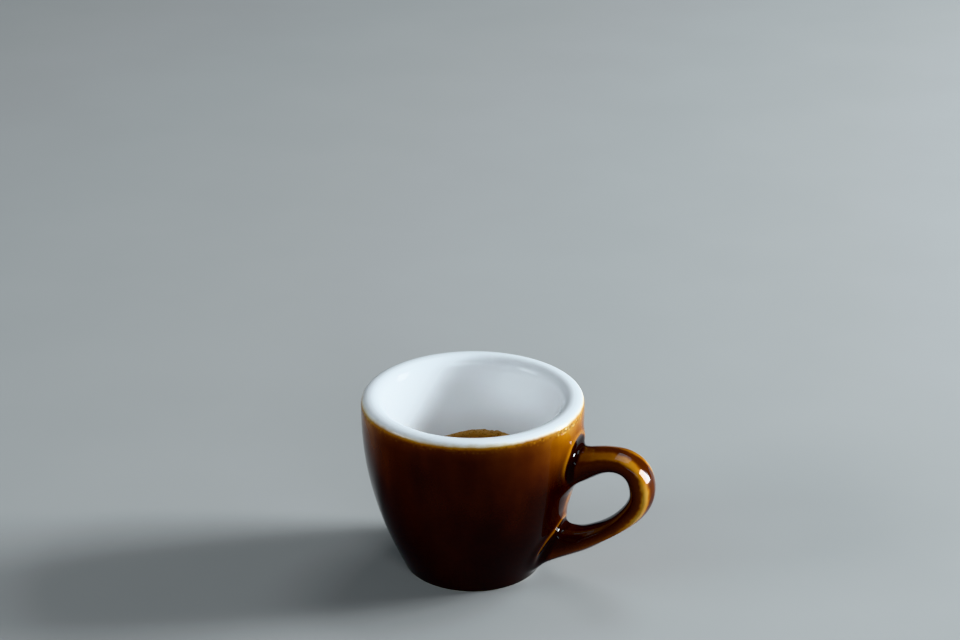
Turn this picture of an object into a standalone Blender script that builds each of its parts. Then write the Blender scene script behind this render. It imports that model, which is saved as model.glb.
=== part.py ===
"""A thick-walled espresso cup and the shot of coffee in it.

The cup is one piece of glazed porcelain: an egg-shaped bowl that narrows to a foot ring, with a rounded
rim, a pointed inside and a looped handle that grows out of the wall. The coffee fills the inside up to
its level. Z points up, the table is z = 0, the handle points along +X, and the origin is the middle of
the footprint, handle included.

The cup is modelled as a quad cage: rings of points round the cup's axis, with two rectangular openings
in the outer wall that the handle's rings of points are bridged to. A Subdivision Surface modifier then
rounds the cage, which blends the handle into the wall as poured glaze does.
"""

import math

import bmesh
import bpy
import numpy as np
from mathutils import Vector
from mathutils.geometry import interpolate_bezier

MM = 0.001
MERGE_DISTANCE = 0.001 * MM

# Driving dimensions of the bowl, in millimetres.
HEIGHT = 54.0
RIM_RADIUS = 32.5
BASE_RADIUS = 21.0
WALL_BEND_HEIGHT = 48.0
WALL_FOOT_HEIGHT = 1.8
FOOT_RING_OUTER = 20.2
FOOT_RING_INNER = 16.6
FOOT_RECESS_DEPTH = 1.8
FOOT_EDGE_ROUND = 0.5
FOOT_EDGE_HEIGHT = 1.0

# The rim's section, from the mouth over the top: each ring's distance in from the outside and below the top.
RIM_SECTION = ((6.9, 3.4), (6.1, 1.1), (4.4, -0.05), (2.2, -0.1), (0.4, 0.3), (-0.1, 2.2))

# The inside, whose rings stand at shares of its depth.
RIM_THICKNESS = 7.0
MOUTH_RADIUS = RIM_RADIUS - RIM_THICKNESS
MOUTH_HEIGHT = HEIGHT - 3.5
INSIDE_DEPTH = 41.0
INSIDE_POINTEDNESS = 1.2
INSIDE_RING_DEPTHS = (0.996, 0.95, 0.85, 0.71, 0.56, 0.41, 0.25, 0.10)

# The shot of coffee.
COFFEE_LEVEL = 32.7
FIT_CLEARANCE = 0.5

# The handle's path in its own plane, as (distance from the cup's axis, height).
HANDLE_TOP_ROOT = (30.6, 35.6)
HANDLE_TOP_PULL = (40.4, 43.0)
HANDLE_FAR_PULL = (52.6, 44.2)
HANDLE_FAR_POINT = (52.6, 31.8)
HANDLE_HEEL_PULL = (52.6, 25.0)
HANDLE_LOW_PULL = (40.8, 16.0)
HANDLE_LOW_ROOT = (29.4, 11.3)

# The handle's section at even steps along it, from the top root to the low one. Three of its ring's points
# lie on the outer side, so the first stands one step past the outward direction.
HANDLE_SIDES = 10
HANDLE_FIRST_ANGLE = math.pi / 2.0 + 2.0 * math.pi / HANDLE_SIDES
HANDLE_THICKNESSES = (9.2, 5.8, 7.8, 6.4, 4.8, 6.6)
HANDLE_WIDTHS = (12.0, 10.4, 10.4, 10.4, 10.4, 11.8)
HANDLE_ROOT_CLEARANCE = 4.6
HANDLE_RING_COUNT = 13
HANDLE_REACH = HANDLE_FAR_POINT[0] + HANDLE_THICKNESSES[3] / 2
BEZIER_STEPS = 120

# The handle's roots: the heights of the cage's rings that cross them.
TOP_ROOT_HEIGHTS = (45.6, 41.0, 36.2, 31.4)
LOW_ROOT_HEIGHTS = (16.2, 12.2, 8.2, 4.2)
BETWEEN_ROOTS_HEIGHTS = (26.6, 21.4)
UNDER_RIM_HEIGHT = 49.2

# Cage resolution.
SEGMENTS = 32
SUBDIVISIONS = 1
COFFEE_SEGMENTS = 48
COFFEE_RINGS = 8
COFFEE_RING_SPREAD = 1.6

# The cup's axis stands off the origin, because the footprint's middle counts the handle.
AXIS_X = -(HANDLE_REACH - RIM_RADIUS) / 2

# Colour as red, green, blue, alpha; then roughness and metallic.
GLAZE = ((0.24, 0.085, 0.012, 1.0), 0.12, 0.0)
CREMA = ((0.27, 0.11, 0.025, 1.0), 0.45, 0.0)


def clear_scene():
    """Removes every object that the open file holds."""
    for obj in list(bpy.data.objects):
        bpy.data.objects.remove(obj, do_unlink=True)


def make_material(name, finish):
    """A Principled material of one colour, roughness and metallic value."""
    colour, roughness, metallic = finish
    material = bpy.data.materials.new(name)
    material.use_nodes = True
    shader = material.node_tree.nodes["Principled BSDF"]
    shader.inputs["Base Color"].default_value = colour
    shader.inputs["Roughness"].default_value = roughness
    shader.inputs["Metallic"].default_value = metallic
    return material


def cage_scale(sides):
    """How much larger a ring of control points is than the smooth ring that it makes."""
    return 3.0 / (2.0 + math.cos(2.0 * math.pi / sides))


def outer_radius(height):
    """Radius of the outer wall: upright at the rim, then drawn in as a parabola towards the foot."""
    drop = max(0.0, WALL_BEND_HEIGHT - height) / (WALL_BEND_HEIGHT - WALL_FOOT_HEIGHT)
    return RIM_RADIUS - (RIM_RADIUS - BASE_RADIUS) * drop**2


def inner_radius(height):
    """Radius of the inside, an egg with a pointed end at the bottom."""
    depth = min(max(MOUTH_HEIGHT - height, 0.0) / INSIDE_DEPTH, 1.0)
    return MOUTH_RADIUS * math.sqrt(1.0 - depth**INSIDE_POINTEDNESS)


def outer_profile():
    """Rings of the outer wall from under the rim down to the foot, as (radius, height)."""
    heights = (UNDER_RIM_HEIGHT, *TOP_ROOT_HEIGHTS, *BETWEEN_ROOTS_HEIGHTS, *LOW_ROOT_HEIGHTS)
    return [(outer_radius(h), h) for h in heights]


def rim_profile():
    """Rings over the rim, from the mouth's edge out to the upright wall."""
    return [(RIM_RADIUS - inset, HEIGHT - drop) for inset, drop in RIM_SECTION]


def inside_profile():
    """Rings of the inside from its bottom up to the mouth."""
    heights = [MOUTH_HEIGHT - INSIDE_DEPTH * share for share in INSIDE_RING_DEPTHS]
    return [(inner_radius(h), h) for h in heights]


def foot_profile():
    """Rings of the underside: round the base's edge, down the foot ring and into its recess."""
    return [
        (FOOT_RING_OUTER + FOOT_EDGE_ROUND, FOOT_EDGE_HEIGHT),
        (FOOT_RING_OUTER, 0.0),
        (FOOT_RING_OUTER - FOOT_EDGE_ROUND, 0.0),
        (FOOT_RING_INNER + FOOT_EDGE_ROUND, 0.0),
        (FOOT_RING_INNER, 0.0),
        (FOOT_RING_INNER - FOOT_EDGE_ROUND, FOOT_RECESS_DEPTH),
        (FOOT_RING_INNER / 2, FOOT_RECESS_DEPTH),
    ]


def add_ring(cage, radius, height):
    """One ring of control points round the cup's axis, the first at +X."""
    reach = radius * cage_scale(SEGMENTS) * MM
    turn = 2.0 * math.pi / SEGMENTS
    return [
        cage.verts.new((reach * math.cos(j * turn), reach * math.sin(j * turn), height * MM))
        for j in range(SEGMENTS)
    ]


def join_rings(cage, rings, openings):
    """Quads between rings that follow each other, leaving out the openings' (ring, segment) places."""
    for i in range(len(rings) - 1):
        for j in range(SEGMENTS):
            if (i, j) in openings:
                continue
            k = (j + 1) % SEGMENTS
            cage.faces.new((rings[i][j], rings[i][k], rings[i + 1][k], rings[i + 1][j]))


def close_pole(cage, ring, height, flip):
    """A fan from a ring to one point on the cup's axis."""
    pole = cage.verts.new((0.0, 0.0, height * MM))
    for j in range(SEGMENTS):
        corners = (ring[j], ring[(j + 1) % SEGMENTS], pole)
        cage.faces.new(corners[::-1] if flip else corners)


def root_loop(rings, first, upwards):
    """The ten points round an opening two segments wide and three rings tall, outer side first."""
    rows = rings[first : first + 4]
    if upwards:
        rows = rows[::-1]
    left, middle, right = -1, 0, 1
    return [
        rows[0][left],
        rows[0][middle],
        rows[0][right],
        rows[1][right],
        rows[2][right],
        rows[3][right],
        rows[3][middle],
        rows[3][left],
        rows[2][left],
        rows[1][left],
    ]


def handle_path():
    """Closely spaced points along the handle's middle line, in millimetres."""

    def stretch(*corners):
        return interpolate_bezier(*[Vector((c[0], 0.0, c[1])) for c in corners], BEZIER_STEPS)

    upper = stretch(HANDLE_TOP_ROOT, HANDLE_TOP_PULL, HANDLE_FAR_PULL, HANDLE_FAR_POINT)
    lower = stretch(HANDLE_FAR_POINT, HANDLE_HEEL_PULL, HANDLE_LOW_PULL, HANDLE_LOW_ROOT)
    return upper + lower[1:]


def along_path(points, distance):
    """The point and the direction of travel at a distance along a path."""
    walked = 0.0
    for a, b in zip(points, points[1:]):
        step = (b - a).length
        if walked + step >= distance:
            return a.lerp(b, (distance - walked) / step), (b - a).normalized()
        walked += step
    return points[-1], (points[-1] - points[-2]).normalized()


def add_handle(cage, top_loop, low_loop):
    """Rings of ten points along the handle, bridged to the two openings of the wall."""
    path = handle_path()
    length = sum((b - a).length for a, b in zip(path, path[1:]))
    loops = [top_loop]
    span = length - 2.0 * HANDLE_ROOT_CLEARANCE
    for n in range(HANDLE_RING_COUNT):
        share = n / (HANDLE_RING_COUNT - 1)
        centre, travel = along_path(path, HANDLE_ROOT_CLEARANCE + span * share)
        outward = Vector((-travel.z, 0.0, travel.x))
        thickness, width = at_share(HANDLE_THICKNESSES, share), at_share(HANDLE_WIDTHS, share)
        loops.append(add_section(cage, centre, outward, thickness, width))
    loops.append(low_loop)
    for near, far in zip(loops, loops[1:]):
        for j in range(len(near)):
            k = (j + 1) % len(near)
            cage.faces.new((near[j], near[k], far[k], far[j]))


def at_share(values, share):
    """The value at a share of the way along evenly spaced values."""
    return float(np.interp(share * (len(values) - 1), range(len(values)), values))


def add_section(cage, centre, outward, thickness, width):
    """Ten control points of an oval section, three of them on the outer side first."""
    scale = cage_scale(HANDLE_SIDES) / 2.0
    points = []
    for n in range(HANDLE_SIDES):
        angle = HANDLE_FIRST_ANGLE - n * 2.0 * math.pi / HANDLE_SIDES
        across = Vector((0.0, width * scale * math.cos(angle), 0.0))
        out = outward * (thickness * scale * math.sin(angle))
        points.append(cage.verts.new((centre + across + out) * MM))
    return points


def place(name, cage, material):
    """An object of the cage, on the cup's axis, with smooth faces and its material."""
    mesh = bpy.data.meshes.new(name)
    bmesh.ops.recalc_face_normals(cage, faces=cage.faces)
    cage.to_mesh(mesh)
    cage.free()
    mesh.materials.append(material)
    mesh.shade_smooth()
    obj = bpy.data.objects.new(name, mesh)
    obj.location = (AXIS_X * MM, 0.0, 0.0)
    bpy.context.scene.collection.objects.link(obj)
    return obj


def make_cup(material):
    """The cup with its handle, one closed solid."""
    cage = bmesh.new()
    inside, rim, outside = inside_profile(), rim_profile(), outer_profile()
    profile = inside + rim + outside + foot_profile()
    rings = [add_ring(cage, radius, height) for radius, height in profile]
    first_outer = len(inside) + len(rim)
    top_first = first_outer + 1
    low_first = top_first + len(TOP_ROOT_HEIGHTS) + len(BETWEEN_ROOTS_HEIGHTS)
    openings = {
        (first + row, segment)
        for first in (top_first, low_first)
        for row in range(3)
        for segment in (SEGMENTS - 1, 0)
    }
    join_rings(cage, rings, openings)
    close_pole(cage, rings[0], MOUTH_HEIGHT - INSIDE_DEPTH, flip=True)
    close_pole(cage, rings[-1], FOOT_RECESS_DEPTH, flip=False)
    add_handle(cage, root_loop(rings, top_first, False), root_loop(rings, low_first, True))
    cup = place("cup", cage, material)
    rounding = cup.modifiers.new("rounding", "SUBSURF")
    rounding.levels = SUBDIVISIONS
    rounding.render_levels = SUBDIVISIONS
    return cup


def make_coffee(material):
    """The coffee, a solid of revolution that follows the inside up to its level."""
    cage = bmesh.new()
    bottom = MOUTH_HEIGHT - INSIDE_DEPTH + 2.0 * FIT_CLEARANCE
    profile = [(0.0, bottom)]
    for n in range(1, COFFEE_RINGS + 1):
        share = (n / COFFEE_RINGS) ** COFFEE_RING_SPREAD
        height = bottom + (COFFEE_LEVEL - bottom) * share
        profile.append((inner_radius(height - FIT_CLEARANCE) - FIT_CLEARANCE, height))
    profile.append((0.0, COFFEE_LEVEL))
    points = [cage.verts.new((r * MM, 0.0, h * MM)) for r, h in profile]
    edges = [cage.edges.new(pair) for pair in zip(points, points[1:])]
    bmesh.ops.spin(
        cage,
        geom=points + edges,
        cent=(0.0, 0.0, 0.0),
        axis=(0.0, 0.0, 1.0),
        angle=2.0 * math.pi,
        steps=COFFEE_SEGMENTS,
        use_merge=True,
    )
    bmesh.ops.remove_doubles(cage, verts=cage.verts, dist=MERGE_DISTANCE)
    return place("espresso", cage, material)


def main():
    clear_scene()
    make_cup(make_material("glaze", GLAZE))
    make_coffee(make_material("crema", CREMA))


main()
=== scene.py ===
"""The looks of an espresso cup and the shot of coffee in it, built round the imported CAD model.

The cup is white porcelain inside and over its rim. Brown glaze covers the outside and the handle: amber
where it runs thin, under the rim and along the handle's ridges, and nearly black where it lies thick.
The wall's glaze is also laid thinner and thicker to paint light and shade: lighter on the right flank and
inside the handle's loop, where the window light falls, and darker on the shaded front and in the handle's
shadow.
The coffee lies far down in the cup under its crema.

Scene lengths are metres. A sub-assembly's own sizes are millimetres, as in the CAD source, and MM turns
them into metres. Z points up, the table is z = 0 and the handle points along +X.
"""

import logging
import math
import random
from collections.abc import Callable, Iterator, Sequence
from contextlib import contextmanager
from dataclasses import dataclass, fields
from enum import Enum
from functools import partial, reduce

import bmesh
import bpy
import numpy as np
from mathutils import Matrix, Vector, noise
from mathutils.geometry import interpolate_bezier


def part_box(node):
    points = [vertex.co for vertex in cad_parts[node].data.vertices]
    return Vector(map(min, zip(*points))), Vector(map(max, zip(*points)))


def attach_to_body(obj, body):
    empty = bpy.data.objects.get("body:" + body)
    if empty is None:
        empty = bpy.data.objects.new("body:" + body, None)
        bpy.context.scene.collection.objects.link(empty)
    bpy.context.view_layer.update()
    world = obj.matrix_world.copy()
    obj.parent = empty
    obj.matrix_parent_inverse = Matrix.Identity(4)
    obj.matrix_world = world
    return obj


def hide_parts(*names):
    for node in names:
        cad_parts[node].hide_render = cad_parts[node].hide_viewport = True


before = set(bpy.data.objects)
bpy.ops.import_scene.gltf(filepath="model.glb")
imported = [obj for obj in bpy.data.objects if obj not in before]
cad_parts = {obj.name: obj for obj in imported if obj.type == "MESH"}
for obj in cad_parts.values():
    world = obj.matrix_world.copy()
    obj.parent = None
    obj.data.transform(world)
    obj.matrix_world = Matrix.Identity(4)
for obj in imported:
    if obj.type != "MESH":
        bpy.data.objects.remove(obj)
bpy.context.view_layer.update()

MM = 0.001
TOUCH = 0.002 * MM
TINY = 1e-9
MIX_FIRST, MIX_SECOND, MIX_RESULT = 6, 7, 2
PITS_PER_WAVE = 9.0
WAVE_DETAIL = 1.0

log = logging.getLogger("espresso")

Object = bpy.types.Object
Mesh = bpy.types.Mesh
Socket = bpy.types.NodeSocket
Tree = bpy.types.NodeTree
Pair = tuple[float, float]
Band = tuple[float, float, float, float]
Colour = tuple[float, float, float, float]
Stops = Sequence[tuple[float, Colour]]


class Element(Enum):
    """What is selected in edit mode."""

    VERTEX = "VERT"
    EDGE = "EDGE"
    FACE = "FACE"


class Node(Enum):
    """The CAD nodes that the pieces stand for."""

    CUP = "cup"
    ESPRESSO = "espresso"


class Slot(Enum):
    """The record's material slots."""

    GLAZE = "glaze"
    CREMA = "crema"


class Mark(Enum):
    """The values that a mesh carries for its material to read."""

    REACH = "glaze_reach"
    DEPTH = "glaze_depth"
    BARE = "bare_foot"
    ROOT = "root_distance"
    WALL = "on_wall"
    COLLAR = "thin_collar"
    EDGE = "crema_edge"


def deselect_everything() -> None:
    """Leaves no object selected."""
    bpy.ops.object.select_all(action="DESELECT")


def make_active(obj: Object) -> None:
    """Selects one object alone and makes it the active one.

    Args:
        obj: The object.
    """
    deselect_everything()
    obj.select_set(True)
    bpy.context.view_layer.objects.active = obj


@contextmanager
def editing(obj: Object, element: Element) -> Iterator[None]:
    """Edit mode on one object alone, and object mode again afterwards.

    Args:
        obj: The mesh object to shape.
        element: What its selections are made of.
    """
    make_active(obj)
    bpy.ops.object.mode_set(mode="EDIT")
    bpy.ops.mesh.select_mode(type=element.value)
    yield
    bpy.ops.object.mode_set(mode="OBJECT")


def select_where(obj: Object, element: Element, test: Callable[..., bool]) -> None:
    """Selects the elements of the mesh in edit mode that pass a test, and no others.

    Args:
        obj: The mesh object that is in edit mode.
        element: Which kind of element is tested.
        test: Takes a bmesh element and says whether it is selected.
    """
    bpy.ops.mesh.select_all(action="DESELECT")
    cage = bmesh.from_edit_mesh(obj.data)
    kinds = {Element.VERTEX: cage.verts, Element.EDGE: cage.edges, Element.FACE: cage.faces}
    for item in kinds[element]:
        if test(item):
            item.select_set(True)
    bmesh.update_edit_mesh(obj.data)


def apply_place(obj: Object) -> None:
    """Moves an object's place, turn and scale into its mesh.

    Args:
        obj: The object, which ends at the origin.
    """
    make_active(obj)
    bpy.ops.object.transform_apply(location=True, rotation=True, scale=True)


def raise_rings(
    name: str, axis: float, profile: Sequence[Pair], poles: Pair, segments: int
) -> Object:
    """Models a closed turned form: a disc, extruded and resized ring by ring, and closed again.

    Args:
        name: The new object's name.
        axis: Where the form's upright axis stands on X, in metres.
        profile: The rings in order, each as (radius, height) in millimetres.
        poles: Heights of the first and the last point, on the axis, in millimetres.
        segments: How many points a ring has.

    Returns:
        The closed form, with its normals outwards.
    """
    radius, height = profile[0]
    deselect_everything()
    bpy.ops.mesh.primitive_circle_add(
        vertices=segments, radius=radius * MM, fill_type="TRIFAN", location=(axis, 0.0, height * MM)
    )
    form = bpy.context.object
    form.name = name
    apply_place(form)
    with editing(form, Element.VERTEX):
        select_where(form, Element.VERTEX, lambda v: math.hypot(v.co.x - axis, v.co.y) < TOUCH)
        bpy.ops.transform.translate(value=(0.0, 0.0, (poles[0] - height) * MM))
        bpy.ops.mesh.select_all(action="SELECT")
        bpy.ops.mesh.region_to_loop()
        for next_radius, next_height in profile[1:]:
            climb = (0.0, 0.0, (next_height - height) * MM)
            spread = next_radius / radius
            bpy.ops.mesh.extrude_region_move(TRANSFORM_OT_translate={"value": climb})
            bpy.ops.transform.resize(
                value=(spread, spread, 1.0), center_override=(axis, 0.0, next_height * MM)
            )
            radius, height = next_radius, next_height
        climb = (0.0, 0.0, (poles[1] - height) * MM)
        bpy.ops.mesh.extrude_region_move(TRANSFORM_OT_translate={"value": climb})
        bpy.ops.mesh.merge(type="CENTER")
        bpy.ops.mesh.select_all(action="SELECT")
        bpy.ops.mesh.normals_make_consistent(inside=False)
    return form


def subdivide_smoothly(obj: Object, levels: int) -> None:
    """Rounds a cage with an applied Subdivision Surface modifier and shades it smooth.

    Args:
        obj: The cage.
        levels: How often each face is split.
    """
    make_active(obj)
    bpy.ops.object.modifier_add(type="SUBSURF")
    rounding = obj.modifiers[-1]
    rounding.levels = levels
    rounding.render_levels = levels
    bpy.ops.object.modifier_apply(modifier=rounding.name)
    bpy.ops.object.shade_smooth()


def cage_scale(sides: int) -> float:
    """How much larger a ring of control points is than the smooth ring that it makes."""
    return 3.0 / (2.0 + math.cos(2.0 * math.pi / sides))


def read_points(mesh: Mesh) -> np.ndarray:
    """The places of a mesh's points, as rows of x, y and z in metres."""
    places = np.empty(len(mesh.vertices) * 3)
    mesh.vertices.foreach_get("co", places)
    return places.reshape(-1, 3)


def read_normals(mesh: Mesh) -> np.ndarray:
    """The normals at a mesh's points, as rows of x, y and z."""
    normals = np.empty(len(mesh.vertices) * 3)
    mesh.vertices.foreach_get("normal", normals)
    return normals.reshape(-1, 3)


def read_edges(mesh: Mesh) -> np.ndarray:
    """The two point numbers of each edge of a mesh, one row for an edge."""
    ends = np.empty(len(mesh.edges) * 2, dtype=np.int64)
    mesh.edges.foreach_get("vertices", ends)
    return ends.reshape(-1, 2)


def write_mark(mesh: Mesh, mark: Mark, values: np.ndarray) -> None:
    """Stores one value for each point of a mesh.

    Args:
        mesh: The mesh.
        mark: Which value it is.
        values: One number for each point.
    """
    layer = mesh.attributes.new(mark.value, "FLOAT", "POINT")
    layer.data.foreach_set("value", values.astype(np.float32))


def spread_along(edges: np.ndarray, values: np.ndarray, rounds: int) -> np.ndarray:
    """Evens out values over a surface by averaging each point with its neighbours.

    Args:
        edges: The mesh's edges as pairs of point numbers.
        values: One number for each point.
        rounds: How often the averaging is repeated.

    Returns:
        The evened values.
    """
    count = len(values)
    a, b = edges[:, 0], edges[:, 1]
    links = np.bincount(a, minlength=count) + np.bincount(b, minlength=count)
    for _ in range(rounds):
        around = np.bincount(a, values[b], count) + np.bincount(b, values[a], count)
        values = 0.5 * values + 0.5 * around / links
    return values


def curvature(mesh: Mesh, rounds: int) -> np.ndarray:
    """Mean curvature at each point of a mesh in 1/mm, positive on ridges and negative in hollows.

    Args:
        mesh: The mesh, in metres.
        rounds: How far the values are evened out over the surface.

    Returns:
        One number for each point.
    """
    points, normals, edges = read_points(mesh) / MM, read_normals(mesh), read_edges(mesh)
    a, b = edges[:, 0], edges[:, 1]
    step = points[a] - points[b]
    bend = ((normals[a] - normals[b]) * step).sum(1) / np.maximum((step * step).sum(1), TINY)
    count = len(points)
    links = np.bincount(a, minlength=count) + np.bincount(b, minlength=count)
    total = np.bincount(a, bend, count) + np.bincount(b, bend, count)
    return spread_along(edges, total / links, rounds)


def ramp(values: np.ndarray, start: float, end: float) -> np.ndarray:
    """A smooth step from 0 at start to 1 at end, for each value."""
    share = np.clip((values - start) / (end - start), 0.0, 1.0)
    return share * share * (3.0 - 2.0 * share)


def polar(points: np.ndarray, axis: float) -> tuple[np.ndarray, np.ndarray]:
    """How far places lie from an upright axis, in millimetres, and their turn round it in degrees."""
    x, y = points[:, 0] - axis, points[:, 1]
    return np.hypot(x, y) / MM, np.degrees(np.arctan2(y, x))


def turn_between(turn: float | np.ndarray, other: float) -> float | np.ndarray:
    """How far one direction lies from another, from 0 to 180 degrees."""
    return abs((turn - other + 180.0) % 360.0 - 180.0)


class Painter:
    """Adds nodes to one node tree and joins them.

    Args:
        tree: The node tree of a material or of a group.
    """

    def __init__(self, tree: Tree) -> None:
        """Keeps the tree to work on."""
        self.tree = tree

    def add(self, kind: str, feeds: dict | None = None, **settings: object) -> bpy.types.Node:
        """Adds one node, sets its properties and feeds its inputs.

        Args:
            kind: The node's type name.
            feeds: What its inputs get, by their name or number.
            settings: Its properties by name.

        Returns:
            The new node.
        """
        node = self.tree.nodes.new(kind)
        for key, value in settings.items():
            setattr(node, key, value)
        for key, value in (feeds or {}).items():
            self.feed(node.inputs[key], value)
        return node

    def feed(self, target: Socket, value: object) -> None:
        """Joins a socket to another socket, or gives it a fixed value.

        Args:
            target: The input socket.
            value: An output socket, or a number, vector or colour.
        """
        if isinstance(value, Socket):
            self.tree.links.new(value, target)
        else:
            target.default_value = value

    def mark(self, mark: Mark) -> Socket:
        """The value that the mesh carries under a mark."""
        return self.add("ShaderNodeAttribute", attribute_name=mark.value).outputs["Fac"]

    def calculate(self, operation: str, *values: object) -> Socket:
        """One step of arithmetic on sockets or numbers, by the Math node's name for it."""
        return self.add("ShaderNodeMath", dict(enumerate(values)), operation=operation).outputs[0]

    def multiply(self, *values: object) -> Socket:
        """Several sockets or numbers multiplied with each other."""
        return reduce(partial(self.calculate, "MULTIPLY"), values)

    def step(self, value: object, start: object, end: object) -> Socket:
        """A smooth step from 0 where the value is at start to 1 where it is at end."""
        feeds = {"Value": value, "From Min": start, "From Max": end}
        return self.add("ShaderNodeMapRange", feeds, interpolation_type="SMOOTHSTEP").outputs["Result"]

    def band(self, value: object, band: Band) -> Socket:
        """A mask that is 1 inside a band of the value and smoothly 0 on both sides of it."""
        start, full, fading, end = band
        return self.multiply(self.step(value, start, full), self.step(value, end, fading))

    def scale(self, value: object, low: float, high: float) -> Socket:
        """Turns a value between 0 and 1 into one between low and high."""
        feeds = {"Value": value, "To Min": low, "To Max": high}
        return self.add("ShaderNodeMapRange", feeds).outputs["Result"]

    def sway(self, value: object, by: object, spread: float) -> Socket:
        """A value moved up and down within a spread, by another that runs from 0 to 1."""
        return self.calculate("ADD", value, self.scale(by, -0.5 * spread, 0.5 * spread))

    def blend(self, share: object, first: object, second: object) -> Socket:
        """The colour at a share of the way from a first colour to a second."""
        feeds = {"Factor": share, MIX_FIRST: first, MIX_SECOND: second}
        return self.add("ShaderNodeMix", feeds, data_type="RGBA").outputs[MIX_RESULT]

    def colours(self, value: object, stops: Stops) -> Socket:
        """A colour read off a row of colours.

        Args:
            value: Where it is read, from 0 to 1.
            stops: Each place with its colour, in order.

        Returns:
            The colour.
        """
        node = self.add("ShaderNodeValToRGB", {"Fac": value})
        node.color_ramp.interpolation = "B_SPLINE"
        elements = node.color_ramp.elements
        for _ in range(len(stops) - len(elements)):
            elements.new(1.0)
        for element, (place, colour) in zip(elements, stops):
            element.position = place
            element.color = colour
        return node.outputs["Color"]

    def patches(self, place: object, size: object, stretch: object = 1.0) -> Socket:
        """Coordinates counted in patches instead of metres.

        Args:
            place: Coordinates in metres.
            size: How wide a patch is, in millimetres.
            stretch: How many times taller than wide it is.

        Returns:
            The counted coordinates.
        """
        upright = self.calculate("DIVIDE", 1.0 / MM, stretch)
        lengths = self.add("ShaderNodeCombineXYZ", {"X": 1.0 / MM, "Y": 1.0 / MM, "Z": upright})
        counted = self.add("ShaderNodeVectorMath", {0: place, 1: lengths.outputs[0]}, operation="MULTIPLY")
        feeds = {0: counted.outputs[0], "Scale": self.calculate("DIVIDE", 1.0, size)}
        return self.add("ShaderNodeVectorMath", feeds, operation="SCALE").outputs[0]

    def cloud(self, counted: object, detail: object) -> Socket:
        """Noise from 0 to 1 on coordinates that are counted in patches."""
        feeds = {"Vector": counted, "Scale": 1.0, "Detail": detail}
        return self.add("ShaderNodeTexNoise", feeds).outputs["Fac"]

    def use(self, group: Tree, **values: object) -> Socket:
        """Places a node group on the object's own coordinates and gives it its values by name."""
        place = self.add("ShaderNodeTexCoord").outputs["Object"]
        return self.add("ShaderNodeGroup", {"Place": place, **values}, node_tree=group).outputs[0]


def new_finish(name: str) -> tuple[bpy.types.Material, Painter, bpy.types.Node]:
    """Starts a material with its one shader.

    Args:
        name: The material's name.

    Returns:
        The material, the painter of its tree, and its Principled shader.
    """
    material = bpy.data.materials.new(name)
    material.use_nodes = True
    return material, Painter(material.node_tree), material.node_tree.nodes["Principled BSDF"]


def add_relief(
    painter: Painter, shader: bpy.types.Node, height: object, depth: float, strength: float
) -> None:
    """Gives a shader a relief from a height of 0 to 1, with its depth in millimetres and its strength."""
    bump = painter.add("ShaderNodeBump", {"Height": height, "Distance": depth * MM, "Strength": strength})
    painter.feed(shader.inputs["Normal"], bump.outputs["Normal"])


@dataclass(frozen=True)
class Pattern:
    """A shared effect as one finish uses it. Its fields are the inputs of the effect's node group.

    Args:
        size: How wide a patch, cell or wave is, in millimetres.
    """

    size: float

    def paint(self, painter: Painter) -> Socket:
        """Places the effect on a finish and gives its value."""
        values = {name.capitalize(): value for name, value in vars(self).items()}
        return painter.use(self.group(), **values)

    @classmethod
    def group(cls) -> Tree:
        """The effect's node group, which is built the first time that a finish asks for it.

        Returns:
            The group, with a place and the effect's fields as its inputs.
        """
        name = cls.__name__.lower()
        if name not in bpy.data.node_groups:
            tree = bpy.data.node_groups.new(name, "ShaderNodeTree")
            sockets = [("Place", "INPUT", "NodeSocketVector"), ("Value", "OUTPUT", "NodeSocketFloat")]
            sockets += [(given.name.capitalize(), "INPUT", "NodeSocketFloat") for given in fields(cls)]
            for label, direction, kind in sockets:
                tree.interface.new_socket(name=label, in_out=direction, socket_type=kind)
            painter = Painter(tree)
            given = {socket.name: socket for socket in painter.add("NodeGroupInput").outputs}
            painter.add("NodeGroupOutput", {"Value": cls.build(painter, given)})
        return bpy.data.node_groups[name]

    @staticmethod
    def build(painter: Painter, given: dict[str, Socket]) -> Socket:
        """Adds the effect's nodes to its group and gives what the group puts out."""
        raise NotImplementedError


@dataclass(frozen=True)
class Mottle(Pattern):
    """Soft uneven patches, from 0 to 1.

    Args:
        detail: How much finer unevenness a patch has.
        low: The noise that counts as 0.
        high: The noise that counts as 1.
        stretch: How many times taller than wide a patch is.
    """

    detail: float
    low: float
    high: float
    stretch: float = 1.0

    @staticmethod
    def build(painter: Painter, given: dict[str, Socket]) -> Socket:
        """Cuts off a cloudy noise at its low and high limit."""
        counted = painter.patches(given["Place"], given["Size"], given["Stretch"])
        return painter.step(painter.cloud(counted, given["Detail"]), given["Low"], given["High"])


@dataclass(frozen=True)
class Specks(Pattern):
    """Small round specks in some of the cells of a loose pattern, 1 inside a speck.

    Args:
        reach: How far a speck reaches in its cell.
        share: The share of the cells that hold one.
    """

    reach: float
    share: float

    @staticmethod
    def build(painter: Painter, given: dict[str, Socket]) -> Socket:
        """Fills the middles of the cells that a random share chooses.

        Args:
            painter: The painter of the group's tree.
            given: The group's inputs by name.

        Returns:
            The mask.
        """
        counted = painter.patches(given["Place"], given["Size"])
        cells = painter.add("ShaderNodeTexVoronoi", {"Vector": counted, "Scale": 1.0})
        split = painter.add("ShaderNodeSeparateColor", {"Color": cells.outputs["Color"]})
        chosen = painter.calculate("LESS_THAN", split.outputs["Red"], given["Share"])
        return painter.multiply(chosen, painter.step(cells.outputs["Distance"], given["Reach"], 0.0))


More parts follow.
